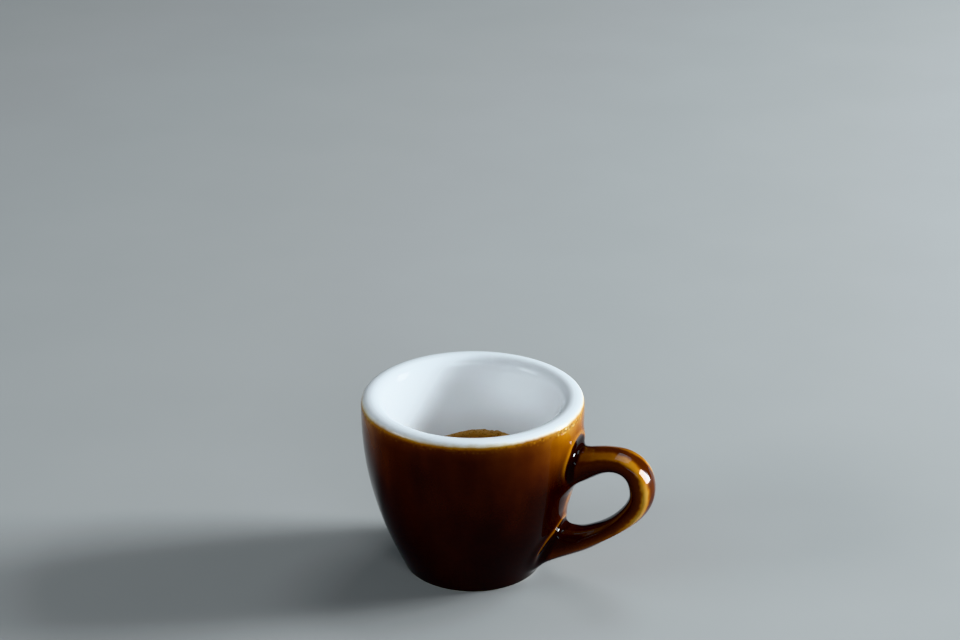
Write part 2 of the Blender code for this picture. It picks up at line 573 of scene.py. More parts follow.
@dataclass(frozen=True)
class Ripple(Pattern):
    """The slow waves and fine pits of a set surface, as a height from 0 to 1.

    Args:
        fine: The share of the pits.
    """

    fine: float

    @staticmethod
    def build(painter: Painter, given: dict[str, Socket]) -> Socket:
        """Adds a finer noise to a slow one.

        Args:
            painter: The painter of the group's tree.
            given: The group's inputs by name.

        Returns:
            The height.
        """
        pit_size = painter.calculate("DIVIDE", given["Size"], PITS_PER_WAVE)
        waves, pits = [
            painter.cloud(painter.patches(given["Place"], size), WAVE_DETAIL)
            for size in (given["Size"], pit_size)
        ]
        return painter.calculate("ADD", waves, painter.multiply(pits, given["Fine"]))


@dataclass(frozen=True)
class CupGlaze:
    """White glaze, the brown glaze over it by its thickness, and the bare foot ring."""

    white: Colour = (0.86, 0.88, 0.90, 1.0)
    bisque: Colour = (0.50, 0.44, 0.36, 1.0)
    speck: Colour = (0.12, 0.036, 0.006, 1.0)
    full_depth: float = 3.0
    browns: Stops = (
        (0.00, (0.70, 0.58, 0.33, 1.0)),
        (0.10, (0.44, 0.27, 0.055, 1.0)),
        (0.24, (0.35, 0.122, 0.008, 1.0)),
        (0.40, (0.150, 0.036, 0.002, 1.0)),
        (0.56, (0.060, 0.0090, 0.0010, 1.0)),
        (0.76, (0.020, 0.0026, 0.0007, 1.0)),
        (1.00, (0.007, 0.0012, 0.0006, 1.0)),
    )
    gloss: float = 0.09
    ior: float = 1.40
    specular: float = 0.32
    bare_roughness: float = 0.85
    bare_waver: float = 0.4
    bare_limits: Pair = (0.4, 0.6)
    runs: Mottle = Mottle(7.0, 2.0, 0.25, 0.75, stretch=3.0)
    run_depth: float = 0.26
    clouds: Mottle = Mottle(16.0, 4.0, 0.3, 0.7)
    cloud_depth: float = 0.30
    waver: Mottle = Mottle(2.2, 3.0, 0.2, 0.8)
    line_waver: float = 0.30
    line_softness: float = 0.70
    specks: Specks = Specks(1.05, 0.80, 0.60)
    speck_clusters: Mottle = Mottle(3.0, 2.0, 0.34, 0.54)
    speck_band: Band = (0.5, 0.9, 1.7, 2.6)
    speck_strength: float = 0.9
    border: Mottle = Mottle(1.3, 4.0, 0.42, 0.62)
    border_band: Band = (0.9, 1.4, 1.5, 2.0)
    border_strength: float = 0.5
    grains: Specks = Specks(0.85, 0.80, 0.5)
    grain_clusters: Mottle = Mottle(5.0, 2.0, 0.40, 0.60)
    grain_band: Band = (0.5, 1.1, 1.6, 2.8)
    grain_depth: float = 0.50
    root_waver: float = 0.08
    pool_edge: Pair = (0.99, 0.84)
    pool_depth: float = 1.1
    collar_band: Band = (0.93, 1.0, 1.02, 1.20)
    collar_depth: float = 0.62
    ripple: Ripple = Ripple(6.0, 0.12)
    relief: Pair = (0.05, 0.35)

    def make(self) -> bpy.types.Material:
        """Builds the material.

        Returns:
            The material.
        """
        material, painter, shader = new_finish("cup_glaze")
        runs, waver = self.runs.paint(painter), self.waver.paint(painter)
        reach = painter.sway(painter.mark(Mark.REACH), waver, self.line_waver)
        # The depth mark holds the glaze's thickness and, on the wall, painted light and shade.
        depth = painter.sway(painter.mark(Mark.DEPTH), runs, self.run_depth)
        depth = painter.sway(depth, self.clouds.paint(painter), self.cloud_depth)
        depth = self.round_roots(painter, depth, runs)
        depth = painter.calculate("SUBTRACT", depth, self.line_grains(painter, reach))
        brown = painter.colours(painter.calculate("DIVIDE", depth, self.full_depth), self.browns)
        brown = painter.blend(self.line_specks(painter, reach), brown, self.speck)
        covered = painter.step(reach, -self.line_softness, self.line_softness)
        colour = painter.blend(covered, self.white, brown)
        bare = painter.step(painter.sway(painter.mark(Mark.BARE), waver, self.bare_waver), *self.bare_limits)
        painter.feed(shader.inputs["Base Color"], painter.blend(bare, colour, self.bisque))
        painter.feed(shader.inputs["Roughness"], painter.scale(bare, self.gloss, self.bare_roughness))
        shader.inputs["IOR"].default_value = self.ior
        shader.inputs["Specular IOR Level"].default_value = self.specular
        add_relief(painter, shader, self.ripple.paint(painter), *self.relief)
        return material

    def round_roots(self, painter: Painter, depth: object, runs: object) -> Socket:
        """Thins the glaze on the edge round each root of the handle and pools it inside that edge.

        Args:
            painter: The painter of the material's tree.
            depth: How thick the glaze lies so far.
            runs: Soft patches, from 0 to 1.

        Returns:
            How thick the glaze lies.
        """
        from_root = painter.sway(painter.mark(Mark.ROOT), runs, self.root_waver)
        inside = painter.step(from_root, *self.pool_edge)
        pool = painter.multiply(inside, self.pool_depth, painter.mark(Mark.WALL))
        pooled = painter.calculate("ADD", depth, pool)
        edge = painter.multiply(painter.band(from_root, self.collar_band), painter.mark(Mark.COLLAR))
        thinner = painter.calculate("MINIMUM", pooled, self.collar_depth)
        kept = painter.multiply(pooled, painter.calculate("SUBTRACT", 1.0, edge))
        return painter.calculate("ADD", kept, painter.multiply(thinner, edge))

    def line_specks(self, painter: Painter, reach: object) -> Socket:
        """The brown specks and the ragged border just under the line where the brown glaze begins.

        Args:
            painter: The painter of the material's tree.
            reach: How far below the line a point lies, in millimetres.

        Returns:
            A mask, 1 in a speck.
        """
        clusters, ragged = self.speck_clusters.paint(painter), self.border.paint(painter)
        dense = painter.multiply(painter.band(reach, self.speck_band), clusters, self.speck_strength)
        border = painter.multiply(painter.band(reach, self.border_band), ragged, self.border_strength)
        return painter.calculate("MAXIMUM", painter.multiply(self.specks.paint(painter), dense), border)

    def line_grains(self, painter: Painter, reach: object) -> Socket:
        """How much thinner the glaze lies in the pale grains along the line where it begins.

        Args:
            painter: The painter of the material's tree.
            reach: How far below the line a point lies, in millimetres.

        Returns:
            What is taken off its depth.
        """
        grains, clusters = self.grains.paint(painter), self.grain_clusters.paint(painter)
        return painter.multiply(grains, clusters, painter.band(reach, self.grain_band), self.grain_depth)


@dataclass(frozen=True)
class Crema:
    """The crema: golden at the wall and in its foam, darker caramel patches further in."""

    pale: Colour = (0.62, 0.38, 0.165, 1.0)
    golden: Colour = (0.46, 0.185, 0.034, 1.0)
    caramel: Colour = (0.20, 0.070, 0.011, 1.0)
    fleck: Colour = (0.055, 0.019, 0.004, 1.0)
    roughness: float = 0.45
    patch_roughness: float = 0.32
    specular: float = 0.30
    patches: Mottle = Mottle(3.4, 5.0, 0.22, 0.68)
    patch_edge: Pair = (0.8, 0.2)
    patch_strength: float = 0.9
    froth: Mottle = Mottle(0.8, 3.0, 0.22, 0.55)
    froth_edge: Pair = (0.34, 0.86)
    froth_strength: float = 0.9
    flecks: Specks = Specks(0.55, 0.6, 0.45)
    fleck_strength: float = 0.75
    foam: Specks = Specks(0.34, 0.8, 1.0)
    relief: Pair = (0.10, 0.5)

    def make(self) -> bpy.types.Material:
        """Builds the material.

        Returns:
            The material.
        """
        material, painter, shader = new_finish("crema")
        edge = painter.mark(Mark.EDGE)
        patches, froth = self.patches.paint(painter), self.froth.paint(painter)
        inner = painter.multiply(patches, painter.step(edge, *self.patch_edge), self.patch_strength)
        outer = painter.multiply(froth, painter.step(edge, *self.froth_edge), self.froth_strength)
        flecks = painter.multiply(self.flecks.paint(painter), self.fleck_strength)
        colour = painter.blend(inner, self.golden, self.caramel)
        colour = painter.blend(outer, colour, self.pale)
        painter.feed(shader.inputs["Base Color"], painter.blend(flecks, colour, self.fleck))
        painter.feed(shader.inputs["Roughness"], painter.scale(patches, self.roughness, self.patch_roughness))
        shader.inputs["Specular IOR Level"].default_value = self.specular
        add_relief(painter, shader, self.foam.paint(painter), *self.relief)
        return material


@dataclass(frozen=True)
class BubbleFilm:
    """The thin wet film of the crema's larger bubbles."""

    colour: Colour = (0.30, 0.125, 0.022, 1.0)
    dark: Colour = (0.10, 0.038, 0.008, 1.0)
    roughness: float = 0.16
    dark_roughness: float = 0.28
    patches: Mottle = Mottle(1.4, 2.0, 0.35, 0.65)
    ripple: Ripple = Ripple(0.8, 0.2)
    relief: Pair = (0.02, 0.3)

    def make(self) -> bpy.types.Material:
        """Builds the material.

        Returns:
            The material.
        """
        material, painter, shader = new_finish("bubble_film")
        patches = self.patches.paint(painter)
        painter.feed(shader.inputs["Base Color"], painter.blend(patches, self.colour, self.dark))
        painter.feed(shader.inputs["Roughness"], painter.scale(patches, self.roughness, self.dark_roughness))
        add_relief(painter, shader, self.ripple.paint(painter), *self.relief)
        return material


@dataclass
class Bowl:
    """The cup's egg-shaped wall, rim, inside and foot, as rings round its axis.

    Args:
        axis: Where the cup's axis stands on X, in metres.
    """

    axis: float
    height: float = 54.0
    rim_radius: float = 32.5
    base_radius: float = 21.0
    wall_bend_height: float = 48.0
    wall_foot_height: float = 1.8
    rim_section: Sequence[Pair] = ((6.9, 3.4), (6.1, 1.1), (4.4, -0.05), (2.2, -0.1), (0.4, 0.3), (-0.1, 2.2))
    rim_thickness: float = 7.0
    mouth_drop: float = 3.5
    inside_depth: float = 41.0
    inside_pointedness: float = 1.2
    inside_ring_depths: Sequence[float] = (0.996, 0.95, 0.85, 0.71, 0.56, 0.41, 0.25, 0.10)
    foot_ring_outer: float = 20.2
    foot_ring_inner: float = 16.6
    foot_recess_depth: float = 1.8
    foot_edge_round: float = 0.5
    foot_edge_height: float = 1.0
    under_rim_height: float = 49.2
    top_root_heights: Sequence[float] = (45.6, 41.0, 36.2, 31.4)
    between_roots_heights: Sequence[float] = (26.6, 21.4)
    low_root_heights: Sequence[float] = (16.2, 12.2, 8.2, 4.2)
    segments: int = 32

    def outer_radius(self, height: float) -> float:
        """Radius of the outer wall at a height: upright at the rim, drawn in as a parabola below."""
        drop = max(0.0, self.wall_bend_height - height) / (self.wall_bend_height - self.wall_foot_height)
        return self.rim_radius - (self.rim_radius - self.base_radius) * drop**2

    def inner_radius(self, height: float) -> float:
        """Radius of the inside at a height, an egg with a pointed end."""
        depth = min(max(self.height - self.mouth_drop - height, 0.0) / self.inside_depth, 1.0)
        return (self.rim_radius - self.rim_thickness) * math.sqrt(1.0 - depth**self.inside_pointedness)

    @property
    def inside_bottom(self) -> float:
        """Height of the inside's lowest point."""
        return self.height - self.mouth_drop - self.inside_depth

    def profile(self) -> list[Pair]:
        """Every ring's radius and height: up the inside, over the rim, down the wall and under the foot.

        Returns:
            The rings in order.
        """
        mouth = self.height - self.mouth_drop
        inside = [mouth - self.inside_depth * share for share in self.inside_ring_depths]
        outside = [
            self.under_rim_height, *self.top_root_heights, *self.between_roots_heights, *self.low_root_heights
        ]
        rings = [(self.inner_radius(h), h) for h in inside]
        rings += [(self.rim_radius - inset, self.height - drop) for inset, drop in self.rim_section]
        rings += [(self.outer_radius(h), h) for h in outside]
        return rings + self.foot_profile()

    def foot_profile(self) -> list[Pair]:
        """Rings round the base's edge, down the foot ring and into its recess."""
        edge = self.foot_edge_round
        return [
            (self.foot_ring_outer + edge, self.foot_edge_height),
            (self.foot_ring_outer, 0.0),
            (self.foot_ring_outer - edge, 0.0),
            (self.foot_ring_inner + edge, 0.0),
            (self.foot_ring_inner, 0.0),
            (self.foot_ring_inner - edge, self.foot_recess_depth),
            (self.foot_ring_inner / 2.0, self.foot_recess_depth),
        ]

    def raise_cage(self, name: str) -> Object:
        """Models the bowl's cage, closed all round.

        Args:
            name: The new object's name.

        Returns:
            The cage.
        """
        scale = cage_scale(self.segments)
        rings = [(radius * scale, height) for radius, height in self.profile()]
        poles = (self.inside_bottom, self.foot_recess_depth)
        return raise_rings(name, self.axis, rings, poles, self.segments)

    def in_opening(self, point: Vector, heights: Sequence[float]) -> bool:
        """Whether a point of the outer wall lies in the opening that a handle's root fills.

        Args:
            point: The point, in metres.
            heights: The opening's rings, from the highest to the lowest.

        Returns:
            Whether it does.
        """
        height = point.z / MM
        reach = math.hypot(point.x - self.axis, point.y) / MM
        turn = math.atan2(point.y, point.x - self.axis)
        middle = (self.inner_radius(height) + self.outer_radius(height)) / 2.0
        one_segment = 2.0 * math.pi / self.segments
        return heights[-1] < height < heights[0] and reach > middle and abs(turn) < one_segment


@dataclass(frozen=True)
class Station:
    """One oval ring of the handle's cage, in metres."""

    centre: Vector
    travel: Vector
    outward: Vector
    thickness: float
    width: float

    def holds(self, edge: bmesh.types.BMEdge) -> bool:
        """Whether both ends of an edge are points of this ring."""
        return all(
            abs((v.co - self.centre).dot(self.travel)) < TOUCH and (v.co - self.centre).length < self.width
            for v in edge.verts
        )

    def add(self, sides: int) -> Object:
        """Adds the ring as an object of its own.

        Args:
            sides: How many points it has, the first one straight outwards.

        Returns:
            The ring.
        """
        turn = Matrix((self.outward.cross(self.travel), self.outward, self.travel)).transposed()
        reach = cage_scale(sides) / 2.0
        deselect_everything()
        bpy.ops.mesh.primitive_circle_add(
            vertices=sides, radius=1.0, location=self.centre, rotation=turn.to_euler()
        )
        ring = bpy.context.object
        ring.scale = (self.width * reach, self.thickness * reach, 1.0)
        apply_place(ring)
        return ring


@dataclass
class Handle:
    """The looped handle: oval rings along two Bezier stretches, as (distance from the axis, height).

    Args:
        axis: Where the cup's axis stands on X, in metres.
    """

    axis: float
    top_root: Pair = (30.6, 35.6)
    top_pull: Pair = (40.4, 43.0)
    far_pull: Pair = (52.6, 44.2)
    far_point: Pair = (52.6, 31.8)
    heel_pull: Pair = (52.6, 25.0)
    low_pull: Pair = (40.8, 16.0)
    low_root: Pair = (29.4, 11.3)
    thicknesses: Sequence[float] = (9.2, 5.8, 7.8, 6.4, 4.8, 6.6)
    widths: Sequence[float] = (12.0, 10.4, 10.4, 10.4, 10.4, 11.8)
    root_clearance: float = 4.6
    ring_count: int = 13
    sides: int = 10
    bezier_steps: int = 120
    full_depth: float = 1.70
    thin_depth: float = 0.56
    inner_depth: float = 0.72
    inner_turns: Pair = (math.radians(22.0), math.radians(-35.0))
    bevel_start: Pair = (math.radians(7.0), math.radians(22.0))
    bevel_end: Pair = (math.radians(66.0), math.radians(40.0))
    bevel_shares: Sequence[Pair] = (
        (0.0, 0.1), (0.06, 0.35), (0.16, 0.68), (0.30, 1.0), (0.62, 0.95), (0.76, 0.30), (1.0, 0.1)
    )
    bevel_shifts: Sequence[Pair] = (
        (0.0, math.radians(17.0)), (0.26, math.radians(17.0)), (0.46, 0.0)
    )
    bevel_waver: float = math.radians(7.0)
    waver_size: float = 1.3
    ridges: Sequence[tuple[float, float, float, Pair]] = (
        (25.0, 17.0, 0.36, (0.05, 0.90)),
        (72.0, 18.0, -0.10, (0.05, 0.90)),
        (-32.0, 9.0, 0.26, (0.66, 0.97)),
    )
    ridge_fade: float = 0.12

    def path(self) -> list[Vector]:
        """Closely spaced points along the handle's middle line.

        Returns:
            The points, in metres.
        """

        def stretch(*corners: Pair) -> list[Vector]:
            """The points of one Bezier stretch."""
            places = [Vector((self.axis + reach * MM, 0.0, height * MM)) for reach, height in corners]
            return interpolate_bezier(*places, self.bezier_steps)

        upper = stretch(self.top_root, self.top_pull, self.far_pull, self.far_point)
        return upper + stretch(self.far_point, self.heel_pull, self.low_pull, self.low_root)[1:]

    def stations(self) -> list[Station]:
        """The handle's rings, from the top root to the low one.

        Returns:
            The rings at even steps.
        """
        path = self.path()
        walked = np.cumsum([0.0] + [(b - a).length for a, b in zip(path, path[1:])])
        clearance = self.root_clearance * MM
        found = []
        for n in range(self.ring_count):
            share = n / (self.ring_count - 1)
            distance = clearance + (walked[-1] - 2.0 * clearance) * share
            i = int(np.searchsorted(walked, distance)) - 1
            start, end = path[i], path[i + 1]
            centre = start.lerp(end, (distance - walked[i]) / (walked[i + 1] - walked[i]))
            travel = (end - start).normalized()
            outward = Vector((-travel.z, 0.0, travel.x))
            thickness, width = self.at(self.thicknesses, share), self.at(self.widths, share)
            found.append(Station(centre, travel, outward, thickness * MM, width * MM))
        return found

    @staticmethod
    def at(values: Sequence[float], share: float) -> float:
        """The value at a share of the way along evenly spaced values."""
        return float(np.interp(share * (len(values) - 1), range(len(values)), values))

    def locate(self, points: np.ndarray) -> tuple[np.ndarray, np.ndarray]:
        """Where places on the handle lie along it and round its section.

        Args:
            points: The places, in metres.

        Returns:
            For each place its share of the way along the handle, from the top root, and its turn round the
            section: 0 on either side face, a right turn outwards and less than 0 inside the loop.
        """
        path = np.array(self.path())
        travel = np.gradient(path, axis=0)
        travel /= np.linalg.norm(travel, axis=1)[:, None]
        nearest = ((points[:, None, :] - path[None, :, :]) ** 2).sum(2).argmin(1)
        offset = (points - path[nearest]) / MM
        share = nearest / (len(path) - 1)
        steps = np.linspace(0.0, 1.0, len(self.thicknesses))
        outward = offset[:, 2] * travel[nearest, 0] - offset[:, 0] * travel[nearest, 2]
        outward /= np.interp(share, steps, self.thicknesses) / 2.0
        across = np.abs(offset[:, 1]) / (np.interp(share, steps, self.widths) / 2.0)
        return share, np.arctan2(outward, across)

    def glaze_depth(self, points: np.ndarray) -> np.ndarray:
        """How thick the brown glaze lies: thin on the bevels at the outer edges, thick inside the loop.

        Args:
            points: Places on the handle, in metres.

        Returns:
            A depth for each place.
        """
        share, turn = self.locate(points)
        waver = np.array([noise.noise(Vector(p) / (self.waver_size * MM)) for p in points])
        wavering = turn + self.bevel_waver * waver - np.interp(share, *zip(*self.bevel_shifts))
        bevel = ramp(wavering, *self.bevel_start) * ramp(wavering, *self.bevel_end)
        bevel *= np.interp(share, *zip(*self.bevel_shares))
        inner = ramp(turn, *self.inner_turns)
        return self.full_depth + (self.thin_depth - self.full_depth) * bevel + self.inner_depth * inner

    def bevel_relief(self, points: np.ndarray) -> np.ndarray:
        """How far the skin stands out where the outer edges are bevelled, faded out at the roots.

        Args:
            points: Places on the handle, in metres.

        Returns:
            A height for each place, in millimetres, below 0 where the skin is drawn in.
        """
        share, turn = self.locate(points)
        relief = np.zeros(len(points))
        for middle, width, height, (start, end) in self.ridges:
            along = ramp(share, start, start + self.ridge_fade) * ramp(share, end, end - self.ridge_fade)
            relief += height * along * np.exp(-(((np.degrees(turn) - middle) / width) ** 2))
        return relief


@dataclass
class Cup:
    """The glazed cup: bowl and handle in one skin.

    Args:
        bowl: Its bowl.
        handle: Its handle.
    """

    bowl: Bowl
    handle: Handle
    levels: int = 3
    glaze_line: float = 53.2
    inside_line: float = -2.0
    bare_height: float = 0.45
    bare_width: float = 1.0
    hollow_bend: Pair = (-0.02, -0.14)
    depth_steps: Sequence[Pair] = (
        (0.0, 0.10), (0.8, 0.75), (1.6, 1.40), (5.0, 1.82),
        (10.0, 2.04), (20.0, 2.35), (40.0, 2.70), (54.0, 2.95),
    )
    # Painted light and shade by direction round the axis: thinner glaze paints the right flank lighter where
    # the window light falls, down to about 26 mm below the line, and thicker glaze paints the shaded front
    # darker; the third entry lays the glaze thinner on the left.
    thin_sides: Sequence[tuple[float, float, float]] = (
        (2.0, 56.0, 0.76), (-82.0, 44.0, -0.45), (-152.0, 48.0, 0.40)
    )
    thin_core: float = 0.2
    thin_start: Pair = (0.3, 1.6)
    thin_reach: Pair = (3.0, 26.0)
    thin_kept: float = 0.25
    # Painted light and shade as patches of the wall: the first lays the glaze thinner and lighter where the
    # window light falls on the wall inside the handle's loop; the second lays it thicker and darker in the
    # handle's shadow beside it.
    patches: Sequence[tuple[float, float, float, float, float]] = (
        (3.0, 24.0, 9.0, 9.5, -1.15), (-17.0, 25.0, 11.0, 13.0, 0.45)
    )
    patch_core: float = 0.45
    root_centres: Sequence[float] = (38.5, 10.7)
    root_size: Pair = (8.4, 8.3)
    root_ridge: float = 0.42
    ridge_middle: float = 1.05
    ridge_width: float = 0.20
    ridge_end: Pair = (1.4, 4.5)
    wall_inside: Pair = (-2.0, -1.0)
    wall_outside: Pair = (2.6, 1.2)
    collar_heights: Pair = (-5.5, 1.0)
    collar_end: Pair = (1.5, 0.7)
    collar_share: float = 0.85
    hollow_rounds: int = 6
    hollow_thickening: float = 1.1
    handle_start: Pair = (0.3, 3.0)

    def build(self) -> Object:
        """Models, marks and dresses the cup.

        Returns:
            The finished piece.
        """
        cup = self.bowl.raise_cage("glazed_cup")
        self.add_handle(cup)
        subdivide_smoothly(cup, self.levels)
        self.bevel_handle(cup.data)
        self.mark(cup.data)
        cup.data.materials.append(CupGlaze().make())
        return cup

    def add_handle(self, cup: Object) -> None:
        """Opens the wall at both roots and bridges the handle's rings between them.

        Args:
            cup: The bowl's cage, which becomes the whole cup's.
        """
        bowl, stations = self.bowl, self.handle.stations()
        openings = (bowl.top_root_heights, bowl.low_root_heights)
        with editing(cup, Element.FACE):
            select_where(
                cup,
                Element.FACE,
                lambda face: any(bowl.in_opening(face.calc_center_median(), heights) for heights in openings),
            )
            bpy.ops.mesh.delete(type="FACE")
        rings = [station.add(self.handle.sides) for station in stations]
        make_active(cup)
        for ring in rings:
            ring.select_set(True)
        bpy.ops.object.join()
        with editing(cup, Element.EDGE):
            upper_rim, last = self.opening_edges(openings[0]), stations[-1]
            self.bridge(cup, upper_rim, stations[0].holds)
            for near, far in zip(stations, stations[1:]):
                self.bridge(cup, near.holds, far.holds)
            self.bridge(cup, last.holds, self.opening_edges(openings[1]))
            bpy.ops.mesh.select_all(action="SELECT")
            bpy.ops.mesh.normals_make_consistent(inside=False)

    @staticmethod
    def opening_edges(heights: Sequence[float]) -> Callable[[bmesh.types.BMEdge], bool]:
        """A test for the open edges round an opening.

        Args:
            heights: The opening's rings, from the highest to the lowest.

        Returns:
            The test.
        """
        high, low = heights[0] * MM + TOUCH, heights[-1] * MM - TOUCH
        return lambda edge: edge.is_boundary and all(low < v.co.z < high for v in edge.verts)

    @staticmethod
    def bridge(cup: Object, near: Callable[..., bool], far: Callable[..., bool]) -> None:
        """Joins two loops of edges with a band of faces.

        Args:
            cup: The cage, in edit mode.
            near: The test for the first loop's edges.
            far: The test for the second loop's edges.
        """
        select_where(cup, Element.EDGE, lambda edge: near(edge) or far(edge))
        bpy.ops.mesh.bridge_edge_loops()

    def bevel_handle(self, mesh: Mesh) -> None:
        """Bevels the handle's outer edges in its skin, and raises an edge round its roots.

        Args:
            mesh: The cup's rounded mesh.
        """
        points, normals = read_points(mesh), read_normals(mesh)
        reach, _ = polar(points, self.bowl.axis)
        beyond = reach > self.bowl.rim_radius + self.handle_start[1]
        relief = np.zeros(len(points))
        relief[beyond] = self.handle.bevel_relief(points[beyond])
        from_root, on_wall = self.root_distance(points)
        on_wall = on_wall * ramp(points[:, 2] / MM, *self.ridge_end)
        from_ridge = (from_root - self.ridge_middle) / self.ridge_width
        relief += self.root_ridge * on_wall * np.exp(-(from_ridge**2))
        points += normals * relief[:, None] * MM
        mesh.vertices.foreach_set("co", points.ravel())
        mesh.update()

    def root_distance(self, points: np.ndarray) -> tuple[np.ndarray, np.ndarray]:
        """How far places lie from the nearer root of the handle, and whether they are on the wall by it.

        Args:
            points: The places, in metres.

        Returns:
            For each place its distance, 1 on the edge round a root, and a share, 1 on the wall.
        """
        across, height = points[:, 1] / MM / self.root_size[0], points[:, 2] / MM
        away = [np.hypot(across, (height - centre) / self.root_size[1]) for centre in self.root_centres]
        reach, _ = polar(points, self.bowl.axis)
        outer = np.array([self.bowl.outer_radius(h) for h in height])
        on_wall = ramp(reach - outer, *self.wall_inside) * ramp(reach - outer, *self.wall_outside)
        return np.minimum(*away), on_wall * (points[:, 0] > self.bowl.axis)

    def mark(self, mesh: Mesh) -> None:
        """Stores where the glaze begins, how thick it lies with painted light and shade laid into that
        thickness on the wall, and where the foot is bare.

        Args:
            mesh: The cup's finished mesh.
        """
        points = read_points(mesh)
        height = points[:, 2] / MM
        reach, turn = polar(points, self.bowl.axis)
        inner = np.array([self.bowl.inner_radius(h) for h in height])
        outer = np.array([self.bowl.outer_radius(h) for h in height])
        outside = (reach > (inner + outer) / 2.0) | (height < self.bowl.inside_bottom / 2.0)
        below_line = np.where(outside, self.glaze_line - height, self.inside_line)
        write_mark(mesh, Mark.REACH, below_line)
        depth = np.interp(below_line, *zip(*self.depth_steps))
        # Painted light and shade: thinner glaze on the lit right flank and inside the handle's loop, thicker
        # on the shaded front and in the handle's shadow.
        depth += self.unevenness(turn, height)
        from_root, on_wall = self.root_distance(points)
        write_mark(mesh, Mark.ROOT, from_root)
        write_mark(mesh, Mark.WALL, on_wall)
        upper, lower = [ramp(height - centre, *self.collar_heights) for centre in self.root_centres]
        between = sum(self.root_centres) / 2.0
        close = self.collar_share * on_wall * ramp(reach - outer, *self.collar_end)
        write_mark(mesh, Mark.COLLAR, close * np.where(height > between, upper, lower))
        beyond = reach > outer
        on_handle = ramp(reach[beyond] - outer[beyond], *self.handle_start)
        depth[beyond] += (self.handle.glaze_depth(points[beyond]) - depth[beyond]) * on_handle
        depth += self.hollow_thickening * ramp(curvature(mesh, self.hollow_rounds), *self.hollow_bend)
        write_mark(mesh, Mark.DEPTH, depth)
        edge_free = ramp(height, self.bare_height, 0.0)
        on_ring = ramp(reach - self.bowl.foot_ring_inner, -self.bare_width, 0.0)
        write_mark(mesh, Mark.BARE, edge_free * on_ring)

    def unevenness(self, turn: np.ndarray, height: np.ndarray) -> np.ndarray:
        """How much thinner or thicker the glaze is laid in some directions and patches of the wall, which
        mostly paints light and shade: lighter on the right flank and inside the handle's loop where the
        window light falls, darker on the shaded front and in the handle's shadow, and thinner glaze on the
        left.

        Args:
            turn: Each place's direction from the axis, in degrees.
            height: Its height, in millimetres.

        Returns:
            What is added to its depth.
        """
        below_line = self.glaze_line - height
        kept = 1.0 - (1.0 - self.thin_kept) * ramp(below_line, *self.thin_reach)
        change = np.zeros(len(turn))
        # Painted light on the lit right flank and painted shade on the front, with thinner glaze on the left.
        for middle, half_width, amount in self.thin_sides:
            away = turn_between(turn, middle)
            side = ramp(away, half_width, self.thin_core * half_width)
            change -= amount * side * kept * ramp(below_line, *self.thin_start)
        # Painted light inside the handle's loop and painted shade in the handle's shadow.
        for middle, centre, half_width, half_height, amount in self.patches:
            away = np.hypot((turn - middle) / half_width, (height - centre) / half_height)
            change += amount * ramp(away, 1.0, self.patch_core)
        return change


